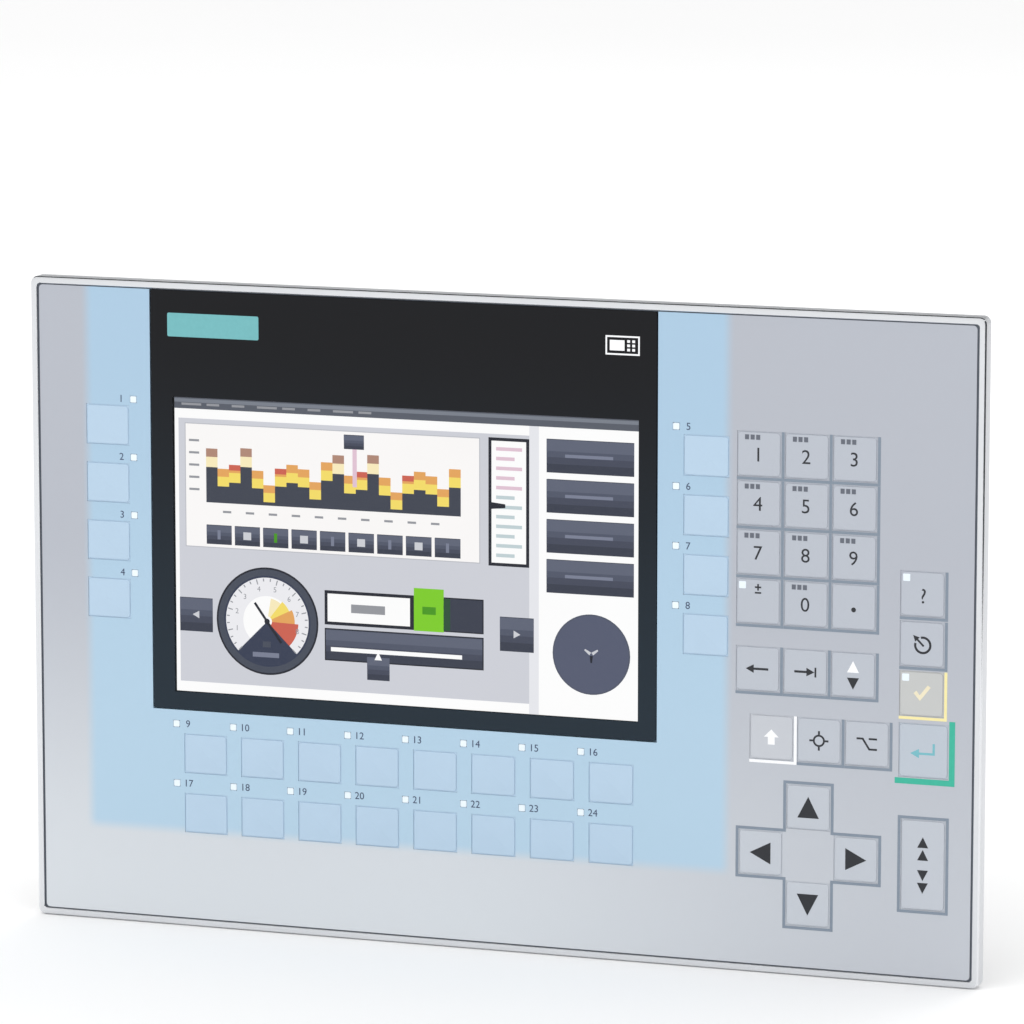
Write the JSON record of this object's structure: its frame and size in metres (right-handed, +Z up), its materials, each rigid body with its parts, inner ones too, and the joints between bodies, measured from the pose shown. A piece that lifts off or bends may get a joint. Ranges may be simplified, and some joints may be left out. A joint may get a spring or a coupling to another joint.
{
  "type": "control cabinet operator panel with keys and display",
  "caption": "Flat operator panel for a cabinet door: aluminium bezel, keys and a display in front, gasket, plug wall, clamping clips and a vented rear box with connectors behind.",
  "frame": {"origin": "on the bezel's rear sealing face, in the middle of its lower band, 97.5 mm below the middle of the front", "axes": "+X to the right and +Z up as the operator sees it; the front faces -Y and +Y points into the cabinet"},
  "size_m": [0.308, 0.063, 0.204],
  "materials": {
    "aluminium": "bead-blasted, clear anodised",
    "printed_foil": "fine-textured polyester foil, screen printed from behind",
    "display_lens": "clear lens with a black printed border",
    "gasket_rubber": "moulded, matt",
    "circuit_board": "green solder mask",
    "steel_sheet": "tinned steel sheet",
    "key_grey": "fine texture",
    "key_white": "fine texture",
    "key_green": "fine texture, green edge print",
    "key_amber": "fine texture, yellow edge print",
    "pad_clear_blue": "clear, light blue tint",
    "label_film": "blank insert film",
    "cover_plastic": "spark-eroded texture",
    "plug_plastic": "moulded green",
    "black_plastic": "glass-filled nylon",
    "zinc_steel": "zinc plated"
  },
  "bodies": {
    "housing": {"front_frame": "aluminium", "key_foil": "printed_foil", "display_window": "display_lens", "panel_gasket": "gasket_rubber", "keypad_board": "circuit_board", "lcd_module": "steel_sheet", "main_board": "circuit_board", "rear_cover": "cover_plastic", "network_jacks": "steel_sheet", "serial_port": "steel_sheet", "usb_ports": "steel_sheet", "mounting_clip_upper_left": "black_plastic", "cover_screw_upper_left": "zinc_steel", "mounting_clip_upper_right": "black_plastic", "cover_screw_upper_right": "zinc_steel", "mounting_clip_lower_left": "black_plastic", "cover_screw_lower_left": "zinc_steel", "mounting_clip_lower_right": "black_plastic", "cover_screw_lower_right": "zinc_steel"},
    "key_1": {"key_1": "key_grey"},
    "key_2": {"key_2": "key_grey"},
    "key_3": {"key_3": "key_grey"},
    "key_4": {"key_4": "key_grey"},
    "key_5": {"key_5": "key_grey"},
    "key_6": {"key_6": "key_grey"},
    "key_7": {"key_7": "key_grey"},
    "key_8": {"key_8": "key_grey"},
    "key_9": {"key_9": "key_grey"},
    "key_sign": {"key_sign": "key_grey"},
    "key_0": {"key_0": "key_grey"},
    "key_point": {"key_point": "key_grey"},
    "key_backspace": {"key_backspace": "key_grey"},
    "key_tab": {"key_tab": "key_grey"},
    "key_insert_delete": {"key_insert_delete": "key_grey"},
    "key_shift": {"key_shift": "key_white"},
    "key_control": {"key_control": "key_grey"},
    "key_alternate": {"key_alternate": "key_grey"},
    "key_help": {"key_help": "key_grey"},
    "key_escape": {"key_escape": "key_grey"},
    "key_acknowledge": {"key_acknowledge": "key_amber"},
    "key_enter": {"key_enter": "key_green"},
    "key_up": {"key_up": "key_grey"},
    "key_down": {"key_down": "key_grey"},
    "key_left": {"key_left": "key_grey"},
    "key_right": {"key_right": "key_grey"},
    "page_key": {"page_key": "key_grey"},
    "function_keys_left": {"function_keys_left": "pad_clear_blue", "label_strip_left": "label_film"},
    "function_keys_right": {"function_keys_right": "pad_clear_blue", "label_strip_right": "label_film"},
    "function_keys_upper": {"function_keys_upper": "pad_clear_blue", "label_strip_upper": "label_film"},
    "function_keys_lower": {"function_keys_lower": "pad_clear_blue", "label_strip_lower": "label_film"},
    "power_plug": {"power_plug": "plug_plastic"},
    "card_lock": {"card_lock": "black_plastic"},
    "clip_screw_upper_left": {"clip_screw_upper_left": "zinc_steel"},
    "clip_screw_upper_right": {"clip_screw_upper_right": "zinc_steel"},
    "clip_screw_lower_left": {"clip_screw_lower_left": "zinc_steel"},
    "clip_screw_lower_right": {"clip_screw_lower_right": "zinc_steel"}
  },
  "joints": [
    {"name": "key_1_press", "type": "slide", "parent": "housing", "child": "key_1", "axis": [0, 1, 0], "range_m": [0, 0.0004], "stiffness_N_per_m": 20},
    {"name": "key_2_press", "type": "slide", "parent": "housing", "child": "key_2", "axis": [0, 1, 0], "range_m": [0, 0.0004], "stiffness_N_per_m": 20},
    {"name": "key_3_press", "type": "slide", "parent": "housing", "child": "key_3", "axis": [0, 1, 0], "range_m": [0, 0.0004], "stiffness_N_per_m": 20},
    {"name": "key_4_press", "type": "slide", "parent": "housing", "child": "key_4", "axis": [0, 1, 0], "range_m": [0, 0.0004], "stiffness_N_per_m": 20},
    {"name": "key_5_press", "type": "slide", "parent": "housing", "child": "key_5", "axis": [0, 1, 0], "range_m": [0, 0.0004], "stiffness_N_per_m": 20},
    {"name": "key_6_press", "type": "slide", "parent": "housing", "child": "key_6", "axis": [0, 1, 0], "range_m": [0, 0.0004], "stiffness_N_per_m": 20},
    {"name": "key_7_press", "type": "slide", "parent": "housing", "child": "key_7", "axis": [0, 1, 0], "range_m": [0, 0.0004], "stiffness_N_per_m": 20},
    {"name": "key_8_press", "type": "slide", "parent": "housing", "child": "key_8", "axis": [0, 1, 0], "range_m": [0, 0.0004], "stiffness_N_per_m": 20},
    {"name": "key_9_press", "type": "slide", "parent": "housing", "child": "key_9", "axis": [0, 1, 0], "range_m": [0, 0.0004], "stiffness_N_per_m": 20},
    {"name": "key_sign_press", "type": "slide", "parent": "housing", "child": "key_sign", "axis": [0, 1, 0], "range_m": [0, 0.0004], "stiffness_N_per_m": 20},
    {"name": "key_0_press", "type": "slide", "parent": "housing", "child": "key_0", "axis": [0, 1, 0], "range_m": [0, 0.0004], "stiffness_N_per_m": 20},
    {"name": "key_point_press", "type": "slide", "parent": "housing", "child": "key_point", "axis": [0, 1, 0], "range_m": [0, 0.0004], "stiffness_N_per_m": 20},
    {"name": "key_backspace_press", "type": "slide", "parent": "housing", "child": "key_backspace", "axis": [0, 1, 0], "range_m": [0, 0.0004], "stiffness_N_per_m": 20},
    {"name": "key_tab_press", "type": "slide", "parent": "housing", "child": "key_tab", "axis": [0, 1, 0], "range_m": [0, 0.0004], "stiffness_N_per_m": 20},
    {"name": "key_insert_delete_press", "type": "slide", "parent": "housing", "child": "key_insert_delete", "axis": [0, 1, 0], "range_m": [0, 0.0004], "stiffness_N_per_m": 20},
    {"name": "key_shift_press", "type": "slide", "parent": "housing", "child": "key_shift", "axis": [0, 1, 0], "range_m": [0, 0.0004], "stiffness_N_per_m": 20},
    {"name": "key_control_press", "type": "slide", "parent": "housing", "child": "key_control", "axis": [0, 1, 0], "range_m": [0, 0.0004], "stiffness_N_per_m": 20},
    {"name": "key_alternate_press", "type": "slide", "parent": "housing", "child": "key_alternate", "axis": [0, 1, 0], "range_m": [0, 0.0004], "stiffness_N_per_m": 20},
    {"name": "key_help_press", "type": "slide", "parent": "housing", "child": "key_help", "axis": [0, 1, 0], "range_m": [0, 0.0004], "stiffness_N_per_m": 20},
    {"name": "key_escape_press", "type": "slide", "parent": "housing", "child": "key_escape", "axis": [0, 1, 0], "range_m": [0, 0.0004], "stiffness_N_per_m": 20},
    {"name": "key_acknowledge_press", "type": "slide", "parent": "housing", "child": "key_acknowledge", "axis": [0, 1, 0], "range_m": [0, 0.0004], "stiffness_N_per_m": 20},
    {"name": "key_enter_press", "type": "slide", "parent": "housing", "child": "key_enter", "axis": [0, 1, 0], "range_m": [0, 0.0004], "stiffness_N_per_m": 20},
    {"name": "key_up_press", "type": "slide", "parent": "housing", "child": "key_up", "axis": [0, 1, 0], "range_m": [0, 0.0004], "stiffness_N_per_m": 20},
    {"name": "key_down_press", "type": "slide", "parent": "housing", "child": "key_down", "axis": [0, 1, 0], "range_m": [0, 0.0004], "stiffness_N_per_m": 20},
    {"name": "key_left_press", "type": "slide", "parent": "housing", "child": "key_left", "axis": [0, 1, 0], "range_m": [0, 0.0004], "stiffness_N_per_m": 20},
    {"name": "key_right_press", "type": "slide", "parent": "housing", "child": "key_right", "axis": [0, 1, 0], "range_m": [0, 0.0004], "stiffness_N_per_m": 20},
    {"name": "page_key_rock", "type": "hinge", "parent": "housing", "child": "page_key", "pos_m": [0.1363, -0.0045, 0.0325], "axis": [1, 0, 0], "range_deg": [-1.2, 1.2]},
    {"name": "function_keys_left_press", "type": "slide", "parent": "housing", "child": "function_keys_left", "axis": [0, 1, 0], "range_m": [0, 0.0003], "stiffness_N_per_m": 20},
    {"name": "function_keys_right_press", "type": "slide", "parent": "housing", "child": "function_keys_right", "axis": [0, 1, 0], "range_m": [0, 0.0003], "stiffness_N_per_m": 20},
    {"name": "function_keys_upper_press", "type": "slide", "parent": "housing", "child": "function_keys_upper", "axis": [0, 1, 0], "range_m": [0, 0.0003], "stiffness_N_per_m": 20},
    {"name": "function_keys_lower_press", "type": "slide", "parent": "housing", "child": "function_keys_lower", "axis": [0, 1, 0], "range_m": [0, 0.0003], "stiffness_N_per_m": 20},
    {"name": "power_plug_pull", "type": "slide", "parent": "housing", "child": "power_plug", "axis": [0, 0, -1], "range_m": [0, 0.012]},
    {"name": "card_lock_slide", "type": "slide", "parent": "housing", "child": "card_lock", "axis": [0, 0, 1], "range_m": [-0.009, 0.009]},
    {"name": "clip_screw_upper_left_travel", "type": "slide", "parent": "housing", "child": "clip_screw_upper_left", "axis": [0, -1, 0], "range_m": [0, 0.004]},
    {"name": "clip_screw_upper_right_travel", "type": "slide", "parent": "housing", "child": "clip_screw_upper_right", "axis": [0, -1, 0], "range_m": [0, 0.004]},
    {"name": "clip_screw_lower_left_travel", "type": "slide", "parent": "housing", "child": "clip_screw_lower_left", "axis": [0, -1, 0], "range_m": [0, 0.004]},
    {"name": "clip_screw_lower_right_travel", "type": "slide", "parent": "housing", "child": "clip_screw_lower_right", "axis": [0, -1, 0], "range_m": [0, 0.004]}
  ]
}
